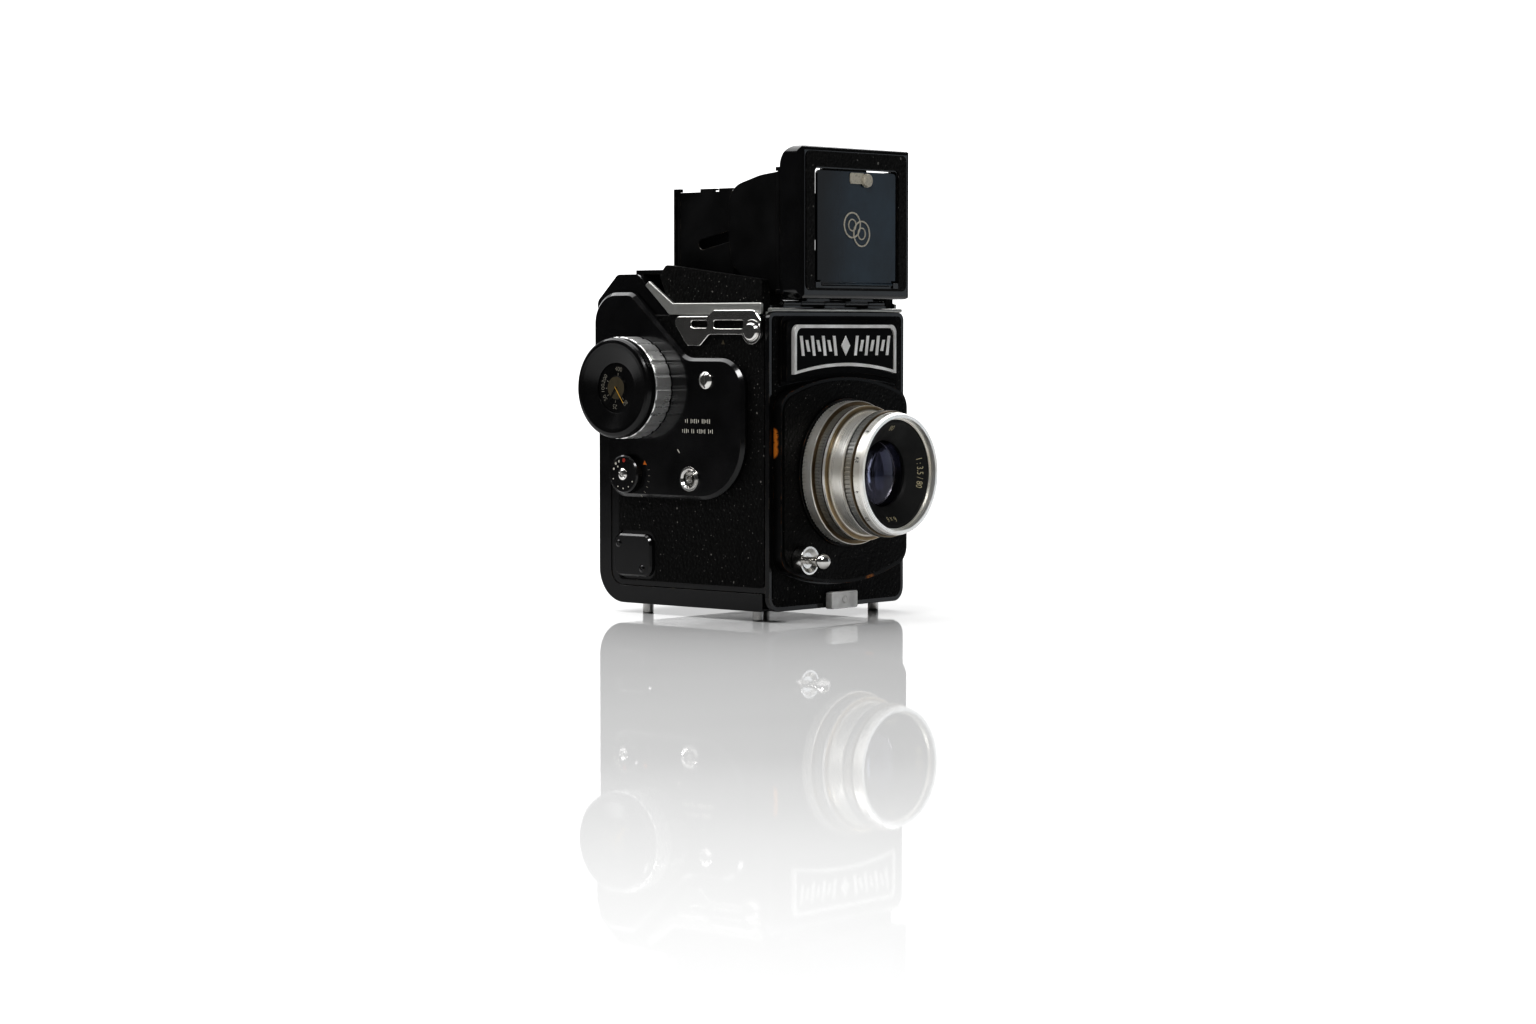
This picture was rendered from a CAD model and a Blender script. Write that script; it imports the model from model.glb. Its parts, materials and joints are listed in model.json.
"""Looks for the box-form waist-level reflex camera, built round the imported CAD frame."""
import json
import math
import bmesh
import bpy
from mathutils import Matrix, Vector


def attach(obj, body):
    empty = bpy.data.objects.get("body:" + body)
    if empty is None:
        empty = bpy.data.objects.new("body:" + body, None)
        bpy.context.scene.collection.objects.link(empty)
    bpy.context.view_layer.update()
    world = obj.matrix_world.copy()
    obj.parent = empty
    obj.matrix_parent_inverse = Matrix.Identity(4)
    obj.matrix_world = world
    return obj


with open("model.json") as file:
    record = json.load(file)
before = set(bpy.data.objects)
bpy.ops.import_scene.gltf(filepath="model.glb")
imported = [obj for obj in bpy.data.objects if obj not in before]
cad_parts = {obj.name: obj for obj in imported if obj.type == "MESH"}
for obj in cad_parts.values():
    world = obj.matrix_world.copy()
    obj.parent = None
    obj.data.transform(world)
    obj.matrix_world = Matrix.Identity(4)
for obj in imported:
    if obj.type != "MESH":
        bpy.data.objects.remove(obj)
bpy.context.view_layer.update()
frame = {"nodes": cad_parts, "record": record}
MM = 0.001
# design coordinates count y from the front plate and z from the floor; the frame's origin
# is the tripod socket, this far behind and above them
ORIGIN = Vector((0, 34.0, 4.0))
LENS_Z = 55.5
KNOB = Vector((0, 66.0, 87.6))
DIAL = Vector((0, 69.4, 54.2))


def at(x, y, z):
    """Design coordinates in millimetres to the frame's metres."""
    return (Vector((x, y, z)) - ORIGIN) * MM


def scaled(colour, factor):
    """The same colour, darker or lighter."""
    return tuple(channel * factor for channel in colour)


def add(name, data):
    """New object in the scene."""
    made = bpy.data.objects.new(name, data)
    bpy.context.scene.collection.objects.link(made)
    return made


# ---- node helpers ---------------------------------------------------------------------------
SOCKETS = {
    "color": "Base Color", "metallic": "Metallic", "rough": "Roughness", "ior": "IOR",
    "coat": "Coat Weight", "coat_rough": "Coat Roughness", "transmission": "Transmission Weight",
    "specular": "Specular IOR Level", "specular_tint": "Specular Tint", "sheen": "Sheen Weight",
    "emission": "Emission Color", "emission_strength": "Emission Strength",
}


class Graph:
    """Small wrapper for building one material's node tree. Lengths are in metres."""

    def __init__(self, name):
        self.material = bpy.data.materials.new(name)
        self.material.use_nodes = True
        self.tree = self.material.node_tree
        self.shader = self.tree.nodes["Principled BSDF"]

    def node(self, kind, **settings):
        """New node with some of its properties set."""
        made = self.tree.nodes.new(kind)
        for key, value in settings.items():
            setattr(made, key, value)
        return made

    def link(self, source, target):
        """Join an output to an input."""
        self.tree.links.new(source, target)

    def give(self, socket, value):
        """Link a source to a socket, or set a plain number, vector or colour on it."""
        if isinstance(value, bpy.types.NodeSocket):
            self.link(value, socket)
        elif socket.type == "RGBA":
            socket.default_value = (*value, 1)
        else:
            socket.default_value = value

    def set(self, **values):
        """Give sources or plain values to the shader's own sockets."""
        for key, value in values.items():
            self.give(self.shader.inputs[SOCKETS[key]], value)

    def coords(self, scale=(1, 1, 1)):
        """Object coordinates, stretched along the axes that have a small scale."""
        texture = self.node("ShaderNodeTexCoord")
        mapping = self.node("ShaderNodeMapping")
        mapping.inputs["Scale"].default_value = scale
        self.link(texture.outputs["Object"], mapping.inputs["Vector"])
        return mapping.outputs["Vector"]

    def split(self, vector):
        """The x, y and z of a vector."""
        made = self.node("ShaderNodeSeparateXYZ")
        self.link(vector, made.inputs[0])
        return made.outputs

    def noise(self, vector, scale, detail=4.0, rough=0.55):
        """Cloudy noise about the value 0.5, with more and finer clouds for a larger scale."""
        made = self.node("ShaderNodeTexNoise")
        made.inputs["Scale"].default_value = scale
        made.inputs["Detail"].default_value = detail
        made.inputs["Roughness"].default_value = rough
        self.link(vector, made.inputs["Vector"])
        return made.outputs["Fac"]

    def cells(self, vector, scale):
        """Rounded cells: low in each cell's middle and high at its border."""
        made = self.node("ShaderNodeTexVoronoi", feature="SMOOTH_F1")
        made.inputs["Scale"].default_value = scale
        self.link(vector, made.inputs["Vector"])
        return made.outputs["Distance"]

    def ramp(self, value, stops):
        """Colours or greys along a value, from (place, colour or grey) stops."""
        made = self.node("ShaderNodeValToRGB")
        while len(made.color_ramp.elements) < len(stops):
            made.color_ramp.elements.new(0.5)
        for element, (place, colour) in zip(made.color_ramp.elements, stops):
            element.position = place
            element.color = (*colour, 1) if isinstance(colour, tuple) else (colour,) * 3 + (1,)
        self.link(value, made.inputs["Fac"])
        return made.outputs["Color"]

    def math(self, operation, first, second=0):
        """An operation on one or two numbers."""
        made = self.node("ShaderNodeMath", operation=operation)
        self.give(made.inputs[0], first)
        self.give(made.inputs[1], second)
        return made.outputs["Value"]

    def vector_math(self, operation, first, second=(0, 0, 0)):
        """An operation on vectors that gives one number."""
        made = self.node("ShaderNodeVectorMath", operation=operation)
        self.give(made.inputs[0], first)
        self.give(made.inputs[1], second)
        return made.outputs["Value"]

    def span(self, value, low, high, out_low, out_high):
        """A value from low to high, spread from out_low to out_high and held at both ends."""
        made = self.node("ShaderNodeMapRange")
        ends = {"From Min": low, "From Max": high, "To Min": out_low, "To Max": out_high}
        for name, number in ends.items():
            made.inputs[name].default_value = number
        self.link(value, made.inputs["Value"])
        return made.outputs["Result"]

    def mix(self, factor, first, second):
        """First colour where the factor is 0, second where it is 1."""
        made = self.node("ShaderNodeMix", data_type="RGBA")
        self.link(factor, made.inputs["Factor"])
        for name, value in (("A", first), ("B", second)):
            socket = [s for s in made.inputs if s.name == name and s.type == "RGBA"][0]
            self.give(socket, value)
        return [s for s in made.outputs if s.type == "RGBA"][0]

    def rounded(self, radius, samples):
        """The surface's normal with its edges rounded."""
        bevel = self.node("ShaderNodeBevel", samples=samples)
        bevel.inputs["Radius"].default_value = radius
        return bevel.outputs["Normal"]

    def edge_mask(self, radius, vector):
        """White on worn edges: where a rounded normal leaves the true one, broken by noise."""
        true = self.node("ShaderNodeNewGeometry").outputs["Normal"]
        agreement = self.vector_math("DOT_PRODUCT", self.rounded(radius, 6), true)
        worn = self.span(agreement, 0.985, 0.80, 0, 1)
        broken = self.ramp(self.noise(vector, 240, 5, 0.7), [(0.50, 0.0), (0.66, 1.0)])
        return self.math("MULTIPLY", worn, broken)

    def bump(self, height, distance, strength=1.0, radius=0.0):
        """Raise the surface by a height map, with rounded edges where a radius is given."""
        made = self.node("ShaderNodeBump")
        made.inputs["Strength"].default_value = strength
        made.inputs["Distance"].default_value = distance
        self.link(height, made.inputs["Height"])
        if radius:
            self.link(self.rounded(radius, 4), made.inputs["Normal"])
        self.link(made.outputs["Normal"], self.shader.inputs["Normal"])


# ---- materials ------------------------------------------------------------------------------
def enamel(name, base=(0.006, 0.006, 0.0065), rough=0.16, wear=(0.16, 0.13, 0.09), peel=0.4,
           gloss=0.35, rubbed=(), shadow=()):
    """Black lacquer worn through on its edges and on each rubbed (spot, reach).

    A shadow is the two x between which the colour clears from near black.
    """
    g = Graph(name)
    v = g.coords()
    dust = g.noise(v, 900, 3)
    smear = g.noise(v, 60, 5)
    worn = g.edge_mask(0.00025, v)
    for spot, reach in rubbed:
        near = g.span(g.vector_math("DISTANCE", v, spot), reach, reach * 0.7, 0, 1)
        patchy = g.ramp(dust, [(0.36, 0.0), (0.46, 1.0)])
        worn = g.math("MAXIMUM", worn, g.math("MULTIPLY", near, patchy))
    tone = g.ramp(smear, [(0.3, scaled(base, 0.75)), (0.75, scaled(base, 1.5))])
    shade = g.mix(worn, tone, wear)
    if shadow:
        wander = g.math("ADD", g.split(v)["X"], g.math("MULTIPLY", g.noise(v, 40, 3), 0.018))
        shade = g.mix(g.span(wander, *shadow, 0, 1), (0.0015, 0.002, 0.003), shade)
    g.set(color=shade, rough=g.span(smear, 0.3, 0.7, rough * 0.75, rough * 1.5))
    g.set(coat=gloss, coat_rough=0.06, specular=gloss * 1.4)
    g.bump(dust, 0.00001, peel, radius=0.0003)
    return g.material


def crackle(name, base, scale, depth, rough):
    """Leatherette: pebbled grain with pale specks and a few larger crumbs of dust."""
    g = Graph(name)
    v = g.coords()
    pebble = g.cells(v, scale)
    fine = g.noise(v, scale * 2.1, 4, 0.65)
    patch = g.noise(v, 45, 4)
    height = g.math("ADD", g.math("MULTIPLY", pebble, -0.8), g.math("MULTIPLY", fine, 0.55))
    tone = g.mix(g.span(pebble, 0.15, 0.7, 1, 0), scaled(base, 0.35), base)
    specks = g.ramp(g.noise(v, 1100, 2, 0.4), [(0.70, 0.0), (0.735, 1.0)])
    crumbs = g.ramp(g.noise(v, 520, 1, 0.3), [(0.765, 0.0), (0.79, 1.0)])
    dust = g.math("ADD", g.math("MULTIPLY", specks, 0.5), g.math("MULTIPLY", crumbs, 0.5))
    g.set(color=g.mix(dust, tone, (0.34, 0.33, 0.31)), rough=g.span(patch, 0.3, 0.7, *rough))
    g.set(specular=0.16)
    g.bump(height, depth, 1.0, radius=0.0002)
    return g.material


def metal(name, base, rough, grain=(1, 1, 1), grain_scale=700, depth=0.000004, metallic=1.0):
    """Bare or plated metal with a directional grain and cloudy tarnish."""
    g = Graph(name)
    streaks = g.noise(g.coords(grain), grain_scale, 3, 0.6)
    cloud = g.noise(g.coords(), 95, 5, 0.6)
    blend = g.math("ADD", g.math("MULTIPLY", cloud, 0.6), g.math("MULTIPLY", streaks, 0.4))
    g.set(color=g.mix(g.span(cloud, 0.35, 0.75, 0, 1), base, scaled(base, 0.75)),
          rough=g.span(blend, 0.3, 0.7, rough * 0.7, rough * 1.5), metallic=metallic)
    g.bump(streaks, depth, 0.6, radius=0.0003)
    return g.material


LIGHT, BRIGHT, GRIP = (0.84, 0.83, 0.79), (0.98, 0.97, 0.94), (0.32, 0.32, 0.31)
DARK, UMBER, STRAW = (0.03, 0.025, 0.02), (0.11, 0.078, 0.042), (0.38, 0.30, 0.19)
# the lens's rings from back to front, by design y: satin lands, bright edges, grips and the
# brown dirt and old lacquer that fill the steps between them
LENS_BANDS = (
    (-5, LIGHT), (-9.7, LIGHT), (-9.85, UMBER), (-10.1, UMBER), (-10.4, GRIP), (-13.2, GRIP),
    (-13.5, DARK), (-13.8, DARK), (-13.9, BRIGHT), (-14.8, BRIGHT), (-15.1, STRAW), (-15.6, UMBER),
    (-15.8, LIGHT), (-21.2, LIGHT), (-21.5, BRIGHT), (-22.4, BRIGHT), (-22.7, DARK), (-23.2, DARK),
    (-23.4, GRIP), (-25.9, GRIP), (-26.3, UMBER), (-26.8, UMBER), (-27.1, LIGHT), (-29.4, LIGHT),
    (-29.7, BRIGHT), (-31, BRIGHT),
)


def turned_metal(name, bands, rough, tint):
    """Lathe-turned rings about the lens axis: fine turning lines and yellowed lacquer."""
    g = Graph(name)
    v = g.coords()
    x, y, z = g.split(v)
    height = g.math("SUBTRACT", z, (LENS_Z - ORIGIN.z) * MM)
    square = g.math("ADD", g.math("MULTIPLY", x, x), g.math("MULTIPLY", height, height))
    profile = g.node("ShaderNodeCombineXYZ")
    g.link(g.math("SQRT", square), profile.inputs["X"])
    g.link(y, profile.inputs["Y"])
    lines = g.noise(profile.outputs[0], 5200, 2, 0.5)
    cloud = g.noise(v, 60, 3, 0.5)
    back, front = bands[0][0], bands[-1][0]
    place = g.span(y, at(0, back, 0).y, at(0, front, 0).y, 0, 1)
    ring = g.ramp(place, [((band - back) / (front - back), colour) for band, colour in bands])
    lacquer = g.span(cloud, 0.46, 0.74, 0, 0.35)
    blend = g.math("ADD", g.math("MULTIPLY", cloud, 0.3), g.math("MULTIPLY", lines, 0.7))
    g.set(color=g.mix(lacquer, ring, tint), metallic=0.70,
          rough=g.span(blend, 0.35, 0.65, rough * 0.85, rough * 1.2))
    g.bump(lines, 0.000002, 0.35, radius=0.00006)
    return g.material


def moulded(name, base, rough):
    """Plastic or flat paint with a slightly uneven surface."""
    g = Graph(name)
    v = g.coords()
    cloud = g.noise(v, 120, 4)
    g.set(color=g.ramp(cloud, [(0.3, scaled(base, 0.8)), (0.7, scaled(base, 1.3))]),
          rough=g.span(cloud, 0.3, 0.7, rough * 0.8, rough * 1.3))
    g.bump(g.noise(v, 1300, 3), 0.000008, 0.4, radius=0.0002)
    return g.material


def glass(name, base, rough, tint=(1, 1, 1)):
    """Smeared glass. The tint colours its reflections, as a coating does."""
    g = Graph(name)
    smear = g.noise(g.coords(), 300, 4)
    g.set(color=base, ior=1.6, transmission=1.0, specular_tint=tint,
          rough=g.span(smear, 0.35, 0.8, rough, rough + 0.03))
    g.bump(smear, 0.000002, 0.2)
    return g.material


def cloth(name, base):
    """Woven shutter cloth."""
    g = Graph(name)
    v = g.coords()
    wave = g.node("ShaderNodeTexWave", bands_direction="Z")
    wave.inputs["Scale"].default_value = 900
    g.link(v, wave.inputs["Vector"])
    g.set(color=g.ramp(g.noise(v, 500), [(0.3, scaled(base, 0.7)), (0.7, base)]), rough=0.85, sheen=0.2)
    g.bump(wave.outputs["Fac"], 0.00002, 0.5)
    return g.material


def paint(name, base, rough=0.45):
    """Filled engraving: slightly uneven matt paint."""
    g = Graph(name)
    worn = g.noise(g.coords(), 1500, 4, 0.7)
    g.set(color=g.ramp(worn, [(0.32, scaled(base, 0.45)), (0.5, base)]), rough=rough)
    g.bump(worn, 0.00001, 0.4)
    return g.material


# worn spots on the lens board, as (spot, reach): three on one edge and one at its foot
RUBBED_BOARD = [(at(-37.6, 0.5, z), 0.0032) for z in (64.5, 67.5, 70.5)] + [(at(15, -1.5, 13.6), 0.004)]

BLACK = enamel("black_enamel")
SATIN_BLACK = enamel("satin_black_enamel", (0.006, 0.006, 0.0062), 0.32, peel=0.8, gloss=0.14)
WORN_BLACK = enamel("worn_black_enamel", (0.005, 0.005, 0.0052), 0.3, wear=(0.46, 0.17, 0.03),
                    gloss=0.12, rubbed=RUBBED_BOARD)
FIELD = enamel("nameplate_field", (0.005, 0.005, 0.0055), 0.45, gloss=0.05, peel=0.8)
INNER = moulded("inner_black", (0.008, 0.008, 0.008), 0.6)
GRAIN = crackle("leatherette", (0.0060, 0.0059, 0.0057), 820, 0.00035, (0.34, 0.5))
FINE_GRAIN = crackle("lid_leatherette_grain", (0.016, 0.0155, 0.015), 1000, 0.00030, (0.34, 0.5))
ALLOY = metal("satin_alloy", (0.50, 0.50, 0.48), 0.34, (1, 0.04, 1), 1600, metallic=0.85)
FRONT_ALLOY = metal("front_alloy", (0.90, 0.89, 0.87), 0.42, (0.04, 1, 1), 1600, metallic=0.6)
CHROME = metal("bright_chrome", (0.80, 0.79, 0.77), 0.13, (1, 1, 1), 500, 0.000002)
KNOB_CHROME = metal("knob_chrome", (0.90, 0.90, 0.89), 0.30, (0.05, 1, 1), 1500, metallic=0.8)
STEEL = metal("steel", (0.42, 0.42, 0.41), 0.3, (0.05, 1, 1), 1200)
BRASS = metal("brass", (0.66, 0.47, 0.19), 0.3, (1, 1, 1), 900)
SILVER = turned_metal("lens_silver", LENS_BANDS, 0.30, (0.50, 0.42, 0.28))
GLOSS = moulded("black_plastic", (0.006, 0.006, 0.0062), 0.17)
MATT = moulded("spool_plastic", (0.03, 0.03, 0.03), 0.5)
FLAP = enamel("flap_enamel", (0.014, 0.026, 0.038), 0.10, wear=(0.10, 0.10, 0.09), peel=0.15,
              gloss=0.2, shadow=(-0.010, 0.008))
COATED = glass("coated_glass", (0.30, 0.31, 0.42), 0.01, (0.74, 0.73, 1.0))
DARK_STEEL = metal("blackened_steel", (0.06, 0.06, 0.07), 0.35, (1, 1, 1), 900)
CLEAR = glass("magnifier_glass", (0.95, 0.96, 0.96), 0.01)
GROUND = glass("ground_glass", (0.86, 0.88, 0.87), 0.45)
MIRROR = metal("mirror_silver", (0.80, 0.82, 0.84), 0.03, depth=0.0)
CURTAIN = cloth("curtain_cloth", (0.012, 0.012, 0.013))
WHITE = paint("white_fill", (0.62, 0.60, 0.54))
CREAM = paint("cream_fill", (0.50, 0.45, 0.30))
INK = paint("ink_fill", (0.03, 0.03, 0.03))
ORANGE = paint("orange_fill", (0.72, 0.22, 0.03))
RED = paint("red_fill", (0.45, 0.04, 0.02))
OLIVE = paint("olive_fill", (0.055, 0.045, 0.025))
DIM = paint("dim_fill", (0.20, 0.19, 0.16))
GOLD = paint("gold_fill", (0.60, 0.36, 0.06), 0.35)
EMBLEM = paint("emblem_fill", (0.46, 0.43, 0.36), 0.3)
BROWN = paint("brown_line", (0.07, 0.045, 0.02), 0.4)

BY_SLOT = {
    "black_enamel": BLACK, "inner_black": INNER, "leatherette": GRAIN, "satin_alloy": ALLOY,
    "bright_chrome": CHROME, "lens_silver": SILVER, "steel": STEEL, "brass_gear": BRASS,
    "black_plastic": GLOSS, "spool_plastic": MATT, "flap_enamel": FLAP, "emblem_metal": EMBLEM,
    "optical_glass": COATED, "ground_glass": GROUND, "mirror_silver": MIRROR, "curtain_cloth": CURTAIN,
}
# CAD nodes that don't look like the rest of their slot
BY_NODE = {
    "lid_leatherette": FINE_GRAIN, "wind_knob": KNOB_CHROME, "front_wing_left": SATIN_BLACK,
    "front_wing_right": SATIN_BLACK, "rear_wing_left": SATIN_BLACK, "rear_wing_right": SATIN_BLACK,
    "rear_panel": SATIN_BLACK, "lens_board": WORN_BLACK, "magnifier_lens": CLEAR,
    "iris": DARK_STEEL, "nameplate": FRONT_ALLOY, "nameplate_base": FIELD, "latch_tab": FRONT_ALLOY,
}


def dress(thing, material):
    """Give an object one material."""
    thing.data.materials.clear()
    thing.data.materials.append(material)


for entry in frame["record"]["subparts"]:
    name = entry["node"]
    dress(frame["nodes"][name], BY_NODE.get(name, BY_SLOT[entry["material_slot"]]))


# ---- flat shapes for marks, in millimetres ---------------------------------------------------
SHEET = 0.03           # how thick letters and outlines are
FONT_SIZE = 1.38       # font size that makes figures about one millimetre high


def flat_text(words, height):
    """Mesh of some figures, centred, in the XY plane and facing +Z."""
    curve = bpy.data.curves.new("text", "FONT")
    curve.body = words
    curve.size = height * FONT_SIZE
    curve.align_x, curve.align_y = "CENTER", "CENTER"
    curve.extrude = SHEET / 2
    curve.resolution_u = 3
    holder = add("text", curve)
    bpy.context.view_layer.update()
    mesh = bpy.data.meshes.new_from_object(holder.evaluated_get(bpy.context.evaluated_depsgraph_get()))
    bpy.data.objects.remove(holder)
    bpy.data.curves.remove(curve)
    return mesh


def join_loops(shape, first, second, smooth=False):
    """Faces between two closed loops of points."""
    for i in range(len(first)):
        j = (i + 1) % len(first)
        face = shape.faces.new((first[i], first[j], second[j], second[i]))
        face.smooth = smooth


def to_mesh(shape, name):
    """Turn a bmesh into a mesh whose faces look outwards."""
    bmesh.ops.recalc_face_normals(shape, faces=shape.faces)
    mesh = bpy.data.meshes.new(name)
    shape.to_mesh(mesh)
    shape.free()
    return mesh


def flat_outline(points, thickness=SHEET):
    """Thin plate with the given outline, in the same plane as the figures."""
    sheet = bmesh.new()
    low = [sheet.verts.new((x, y, -thickness / 2)) for x, y in points]
    high = [sheet.verts.new((x, y, thickness / 2)) for x, y in points]
    sheet.faces.new(low[::-1])
    sheet.faces.new(high)
    join_loops(sheet, low, high)
    return to_mesh(sheet, "outline")


def ring_points(radius, count=28):
    """Points round a circle."""
    turns = [2 * math.pi * i / count for i in range(count)]
    return [(radius * math.cos(turn), radius * math.sin(turn)) for turn in turns]


def bar(width, height):
    """Thin upright bar."""
    x, y = width / 2, height / 2
    return flat_outline([(-x, -y), (x, -y), (x, y), (-x, y)])


# ---- mappings from a flat shape onto the camera ----------------------------------------------
RING_PROUD, BAND_PROUD = 0.04, 0.03    # how far figures stand off the lens


def on_winding_side(x, centre):
    """Mapping onto a face that looks along -X. Each place is (clockwise angle, radius, spin)."""
    def mapping(place, flat):
        angle, radius, spin = math.radians(place[0]), place[1], math.radians(place[2])
        u = flat.x * math.cos(spin) + flat.y * math.sin(spin)
        v = flat.y * math.cos(spin) - flat.x * math.sin(spin)
        right = radius * math.sin(angle) + u
        up = radius * math.cos(angle) + v
        return at(x - flat.z, centre.y - right, centre.z + up)
    return mapping


def round_cone(radius_to_y):
    """Mapping onto a ring that faces forward. Each place is (clockwise angle, radius, outward)."""
    def mapping(place, flat):
        angle, radius, outward = place
        r = radius + flat.y * outward
        turn = math.radians(angle) + flat.x * outward / radius
        y = radius_to_y(r) - RING_PROUD - flat.z
        return at(r * math.sin(turn), y, LENS_Z + r * math.cos(turn))
    return mapping


def round_band(radius_at):
    """Mapping onto a band round the lens axis. Each place is (clockwise angle, y, top forward)."""
    def mapping(place, flat):
        angle, y_mid, forward = place
        y = y_mid - flat.y * forward
        r = radius_at(y) + BAND_PROUD + flat.z
        turn = math.radians(angle) + flat.x * forward / r
        return at(r * math.sin(turn), y, LENS_Z + r * math.cos(turn))
    return mapping


def warp(shapes, mapping):
    """Join flat shapes, each with its own place, and send every point through a mapping."""
    joined = bmesh.new()
    for mesh, place in shapes:
        start = len(joined.verts)
        joined.from_mesh(mesh)
        joined.verts.ensure_lookup_table()
        for vertex in joined.verts[start:]:
            vertex.co = Vector(mapping(place, vertex.co))
        bpy.data.meshes.remove(mesh)
    return to_mesh(joined, "warped")


# ---- pieces ---------------------------------------------------------------------------------
def keep(name, mesh, material, body):
    """Turn a mesh into a piece of the object that rides on one CAD body."""
    mesh.name = name
    made = add(name, mesh)
    dress(made, material)
    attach(made, body)


def polar(y, z, spin=0):
    """Place of a mark on the winding side, from its design y and z."""
    return math.degrees(math.atan2(-y, z)), math.hypot(y, z), spin


# where flat marks lie on the winding side, by design x: just proud of each face
KNOB_DIAL_X, KNOB_HUB_X, KNOB_POINTER_X = -53.02, -53.52, -53.84
SPEED_DIAL_X, COVER_X, SIDE_X = -46.03, -43.02, -40.03
AXIS = Vector((0, 0, 0))
on_knob = on_winding_side(KNOB_DIAL_X, KNOB)
on_dial = on_winding_side(SPEED_DIAL_X, DIAL)
on_cover = on_winding_side(COVER_X, AXIS)

# winding knob: film reminder dial in the sunk centre, by radius, and its numbers as (figures, angle)
KNOB_NUMBERS_R, KNOB_TICKS_R, KNOB_HUB_R, KNOB_POINTER_R, KNOB_POINTER_ANGLE = 7.2, 5.2, 4.35, 3.2, 145
numbers = (("25", -172), ("50", -122), ("100", -92), ("200", -62), ("400", 8), ("80", 142))
keep("knob_dial_numbers", warp([(flat_text(words, 1.8), (angle, KNOB_NUMBERS_R, angle))
                                for words, angle in numbers], on_knob), DIM, "wind")
keep("knob_dial_ticks", warp([(bar(0.32, 1.1), (angle, KNOB_TICKS_R, angle)) for _, angle in numbers],
                             on_knob), DIM, "wind")
keep("knob_dial_hub", warp([(flat_outline(ring_points(KNOB_HUB_R, 64)), (0, 0, 0))],
                           on_winding_side(KNOB_HUB_X, KNOB)), OLIVE, "wind")
keep("knob_dial_pointer", warp([(bar(0.34, 7.6), (KNOB_POINTER_ANGLE, KNOB_POINTER_R, KNOB_POINTER_ANGLE))],
                               on_winding_side(KNOB_POINTER_X, KNOB)), GOLD, "wind")


def round_pips(spots):
    """Round pips from their (angle, distance from the dial's middle, radius)."""
    return [(flat_outline(ring_points(radius)), (angle, away, 0)) for angle, away, radius in spots]


# speed dial
pips = ((-68, 5.3, 0.5), (-44, 5.6, 0.55), (-44, 4.0, 0.4), (-24, 5.4, 0.5), (150, 5.5, 0.3),
        (120, 5.5, 0.3), (180, 5.5, 0.3), (-150, 5.5, 0.3), (-110, 5.5, 0.3))
keep("speed_dial_pips", warp(round_pips(pips), on_dial), WHITE, "speed")
keep("speed_dial_flash_pip", warp(round_pips([(4, 5.4, 0.8)]), on_dial), RED, "speed")

# index marks on the gear cover
triangle = [(-0.9, 0.9), (0, -1.0), (0.9, 0.9)]
keep("dial_index", warp([(flat_outline(triangle), polar(60.5, 58.4, -60))], on_cover), ORANGE, "body")
keep("cover_tick", warp([(bar(0.5, 1.8), polar(43.1, 63.6, -40))], on_cover), WHITE, "body")
# two rows of plain strokes where the real cover is stamped; every third is shorter
STROKE_STEP = 0.95
strokes = [(39.5 - STROKE_STEP * i, 75.2) for i in (0, 1, 3, 4, 5, 6, 7, 9, 10, 11, 12, 13)]
strokes += [(41.0 - STROKE_STEP * i, 71.4) for i in (0, 1, 2, 3, 5, 6, 8, 9, 10, 11, 12, 14, 15, 16)]
keep("cover_strokes", warp([(bar(0.34, 1.7 if i % 3 else 1.25), polar(y, z))
                            for i, (y, z) in enumerate(strokes)], on_cover), WHITE, "body")
# graduations round the speed dial, and a small mark high on the side
SCALE_R = 10.9
keep("dial_scale", warp([(bar(0.3, 1.0), (angle, SCALE_R, angle)) for angle in range(80, 150, 12)],
                        on_winding_side(COVER_X, DIAL)), DIM, "body")
keep("film_plane_mark", warp([(flat_outline(triangle), polar(23.0, 105.2, 180))],
                             on_winding_side(SIDE_X, AXIS)), OLIVE, "body")


# lens: plain figures on the name ring, the front ring and the focusing ring
def name_ring_y(radius):
    """The name ring slopes back 4.8 over 6.0 from its outer edge."""
    return -28.2 + (19.4 - radius) * (4.8 / 6.0)


def front_ring_radius(y):
    """The front ring narrows by a tenth of the way forward."""
    return 23.4 - (-26.6 - y) * 0.1


def focus_ring_radius(_):
    """The focusing ring's band is straight."""
    return 27.4


name_ring = (("1 : 3.5 / 80", 90, 1), ("80", 0, 1), ("6 x 6", 180, 1), ("3.5", -90, 1))
stops = ("3.5", "4", "5.6", "8", "11", "16", "22")
distances = ("1", "1.2", "1.5", "2", "3", "5", "10", "20")
# where the figures run round the lens: radius on the name ring, first angles, and y on the bands
NAME_R, FIRST_STOP, FIRST_DISTANCE, TICK_STEP = 17.2, -135, -30, 15
STOPS_Y, TICKS_Y, DISTANCES_Y = -28.1, -27.05, -8.1
stop_figures = [(flat_text(words, 1.35), (FIRST_STOP + 2 * TICK_STEP * i, STOPS_Y, 1))
                for i, words in enumerate(stops)]
stop_ticks = [(bar(0.18, 0.6), (FIRST_STOP + TICK_STEP * i, TICKS_Y, 1)) for i in range(2 * len(stops) - 1)]
keep("name_ring_figures", warp([(flat_text(words, 2.0), (angle, NAME_R, outward))
                                for words, angle, outward in name_ring],
                               round_cone(name_ring_y)), CREAM, "lens")
keep("aperture_figures", warp(stop_figures + stop_ticks, round_band(front_ring_radius)), INK, "lens")
keep("distance_figures", warp([(flat_text(words, 1.5), (FIRST_DISTANCE + TICK_STEP * i, DISTANCES_Y, -1))
                               for i, words in enumerate(distances)],
                              round_band(focus_ring_radius)), INK, "focus")

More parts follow.
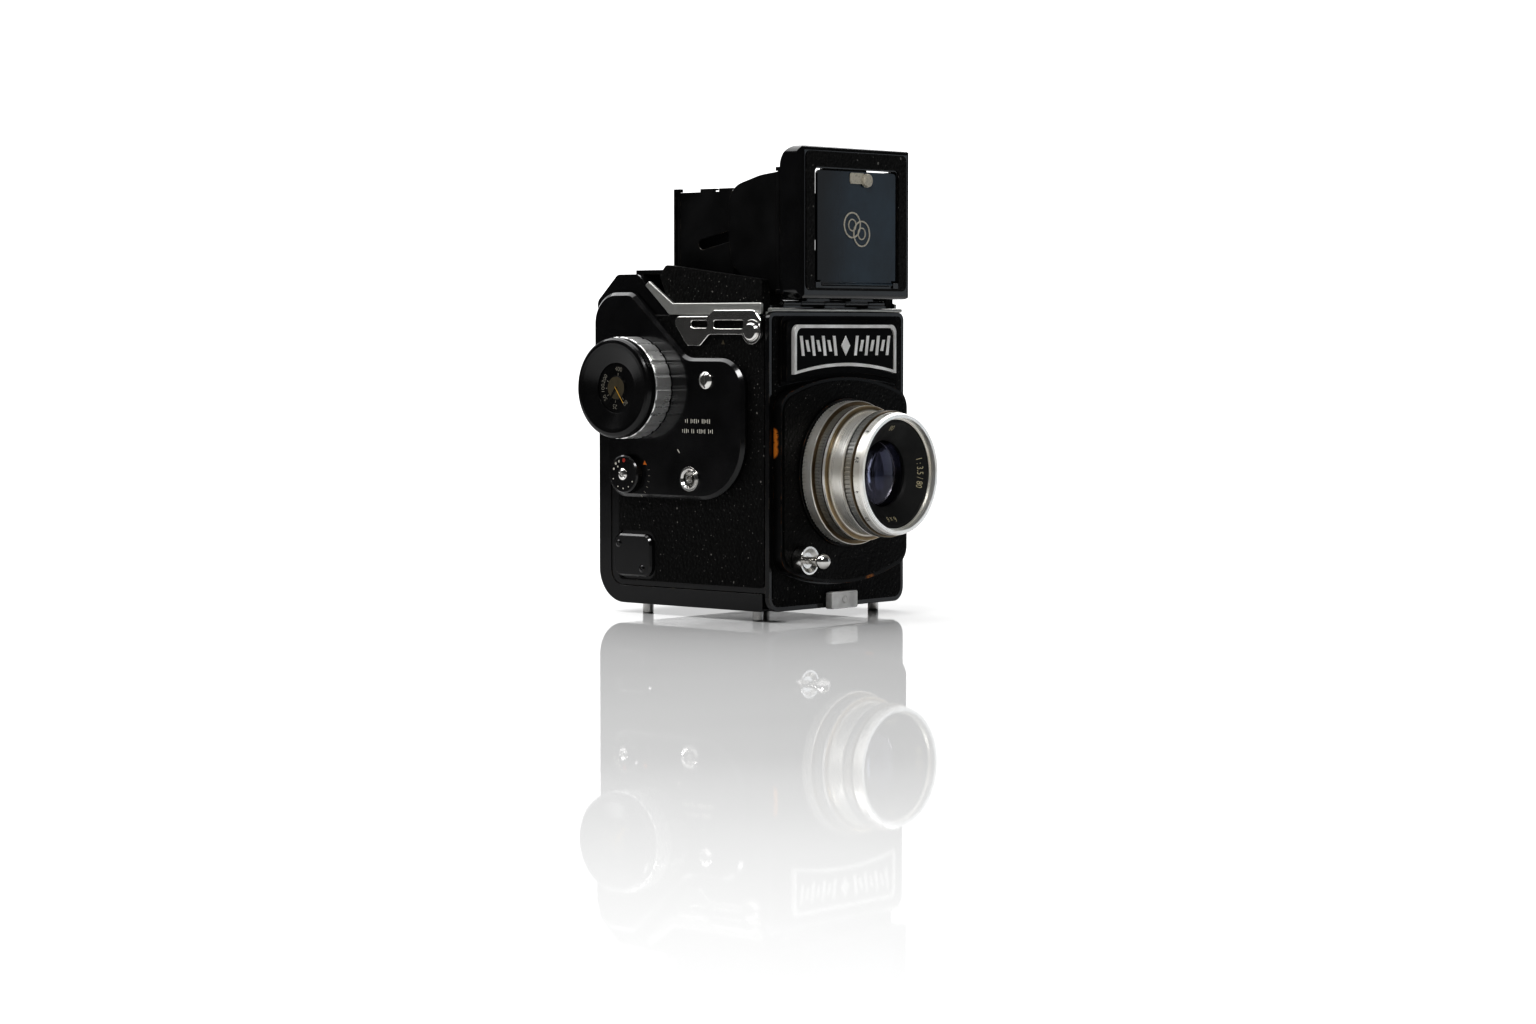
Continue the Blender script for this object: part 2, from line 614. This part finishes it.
# nameplate: a black field round its raised marks
FIELD_Y, FIELD_THICK, FIELD_INSET, FIELD_TOP = -3.73, 0.04, 1.36, 110.44
PLATE_HALF, PLATE_SIDE, PLATE_MIDDLE, PLATE_CORNER = 30.3, 93.0, 96.0, 3


def field_outline():
    """The nameplate's outline, inset: an arch below, two rounded corners above."""
    half, side, middle = PLATE_HALF - FIELD_INSET, PLATE_SIDE + FIELD_INSET, PLATE_MIDDLE + FIELD_INSET
    rise = middle - side
    radius = (half * half + rise * rise) / (2 * rise)
    points = []
    for i in range(25):
        x = -half + 2 * half * i / 24
        points.append((x, middle - radius + math.sqrt(radius * radius - x * x)))
    for sign, turns in ((1, range(0, 91, 15)), (-1, range(90, 181, 15))):
        for turn in map(math.radians, turns):
            points.append((sign * (half - PLATE_CORNER) + PLATE_CORNER * math.cos(turn),
                           FIELD_TOP - PLATE_CORNER + PLATE_CORNER * math.sin(turn)))
    return points


def on_nameplate(_, flat):
    """Mapping onto the upright nameplate."""
    return at(flat.x, FIELD_Y - flat.z, flat.y)


keep("nameplate_field", warp([(flat_outline(field_outline(), FIELD_THICK), None)], on_nameplate),
     FIELD, "body")

# dark lines between the lens's turned rings
LINE_DEPTH, LINE_PROUD, LINE_SIDES = 0.15, 0.02, 160


def lens_line(name, body, radius, y, width):
    """Thin dark band round the lens, let into it and just proud of its surface."""
    band = bmesh.new()
    inner, outer = radius - LINE_DEPTH, radius + LINE_PROUD
    front, back = y - width / 2, y + width / 2
    loops = [[band.verts.new(at(x, place, LENS_Z + z)) for x, z in ring_points(r, LINE_SIDES)]
             for r, place in ((inner, front), (outer, front), (outer, back), (inner, back))]
    for loop, following in zip(loops, loops[1:] + loops[:1]):
        join_loops(band, loop, following, smooth=True)
    keep(name, to_mesh(band, name), BROWN, body)


lens_line("focus_ring_line", "focus", radius=25.7, y=-10.05, width=0.28)
lens_line("barrel_line_front", "lens", radius=23.45, y=-26.72, width=0.2)


# ---- camera and stage -----------------------------------------------------------------------
CAMERA = Vector((-0.9866, -0.8568, 0.1055))
FORWARD = Vector((0.7534, 0.6553, -0.0539))
# level directions away from the camera and across its view
AWAY = Vector((FORWARD.x, FORWARD.y, 0)).normalized()
ACROSS = Vector((FORWARD.y, -FORWARD.x, 0)).normalized()
FLOOR_Z = -ORIGIN.z * MM
FLOOR_HALF = 2
FLOOR_FADE = (0.45, 1.20)      # distances over which the floor fades away
SCREEN_AWAY, SCREEN_HALF, SCREEN_TOP = 4, 5, 3.2
SCREEN_FADE = (1.2, 4.5)       # distances to each side over which the screen's light dies away


def floor_material():
    """White gloss sheet that mirrors only at a low angle and fades into the backdrop far off."""
    g = Graph("stage_floor")
    v = g.coords()
    haze = g.noise(v, 6, 2)
    g.set(color=g.ramp(haze, [(0.2, 0.55), (0.8, 0.58)]), rough=0.02, ior=1.1)
    clear = g.node("ShaderNodeBsdfTransparent")
    faded = g.node("ShaderNodeMixShader")
    g.link(g.span(g.vector_math("LENGTH", v), *FLOOR_FADE, 0.0, 1.0), faded.inputs["Fac"])
    g.link(g.shader.outputs[0], faded.inputs[1])
    g.link(clear.outputs[0], faded.inputs[2])
    g.link(faded.outputs[0], g.tree.nodes["Material Output"].inputs["Surface"])
    return g.material


def glow_material():
    """Lit white screen that dies away towards its two ends."""
    g = Graph("stage_screen")
    v = g.coords()
    aside = g.math("ABSOLUTE", g.vector_math("DOT_PRODUCT", v, ACROSS))
    g.set(emission=g.ramp(g.noise(v, 0.4, 1), [(0.2, 0.98), (0.8, 1.0)]),
          emission_strength=g.span(aside, *SCREEN_FADE, 1.0, 0.0))
    g.set(color=(0, 0, 0), specular=0.0, rough=1.0)
    return g.material


def plane(name, corners, material):
    """Flat piece of the stage."""
    mesh = bpy.data.meshes.new(name)
    mesh.from_pydata([Vector(c) for c in corners], [], [tuple(range(len(corners)))])
    made = add(name, mesh)
    dress(made, material)


plane("floor", [(x * FLOOR_HALF, y * FLOOR_HALF, FLOOR_Z) for x, y in ((-1, -1), (1, -1), (1, 1), (-1, 1))],
      floor_material())
# far white screen behind the object, for the floor to reflect
plane("screen", [AWAY * SCREEN_AWAY + ACROSS * side * SCREEN_HALF + Vector((0, 0, z)) for side, z in
                 ((-1, FLOOR_Z), (1, FLOOR_Z), (1, SCREEN_TOP), (-1, SCREEN_TOP))], glow_material())


def facing(direction):
    """Rotation that points a camera or a light along a direction, with its top up."""
    return direction.to_track_quat("-Z", "Y").to_euler()


view = add("view", bpy.data.cameras.new("view"))
view.location = CAMERA
view.rotation_euler = facing(FORWARD)
view.data.lens = 78.75
view.data.sensor_width = 36
view.data.clip_start = 0.01
bpy.context.scene.camera = view


# ---- light ----------------------------------------------------------------------------------
LIT_POINT = Vector((0, 0, 0.085))


def softbox(name, place, width, height, power, colour=(1, 1, 1)):
    """Rectangular light of some watts, aimed at the object's middle."""
    light = add(name, bpy.data.lights.new(name, "AREA"))
    light.data.shape = "RECTANGLE"
    light.data.size, light.data.size_y = width, height
    light.data.energy = power
    light.data.color = colour
    light.location = place
    light.rotation_euler = facing(LIT_POINT - Vector(place))


def white_room():
    """White backdrop that lights the object only a little, so that black surfaces stay black."""
    world = bpy.data.worlds.new("studio")
    bpy.context.scene.world = world
    world.use_nodes = True
    nodes, links = world.node_tree.nodes, world.node_tree.links
    room, backdrop = nodes["Background"], nodes.new("ShaderNodeBackground")
    for background, strength in ((room, 0.05), (backdrop, 1.0)):
        background.inputs["Color"].default_value = (1, 1, 1, 1)
        background.inputs["Strength"].default_value = strength
    path = nodes.new("ShaderNodeLightPath")
    seen = nodes.new("ShaderNodeMixShader")
    links.new(path.outputs["Is Camera Ray"], seen.inputs["Fac"])
    links.new(room.outputs[0], seen.inputs[1])
    links.new(backdrop.outputs[0], seen.inputs[2])
    links.new(seen.outputs[0], nodes["World Output"].inputs["Surface"])


softbox("top_light", (0.1, 0.40, 0.92), 2.2, 1.1, 20)
softbox("key_light", (-0.75, -0.55, 1.0), 0.4, 0.4, 7)
softbox("front_light", (0.95, -0.74, 0.14), 0.45, 0.6, 0.55, (0.88, 0.94, 1.0))
white_room()
bpy.context.scene.view_settings.view_transform = "Standard"
bpy.context.scene.view_settings.look = "High Contrast"
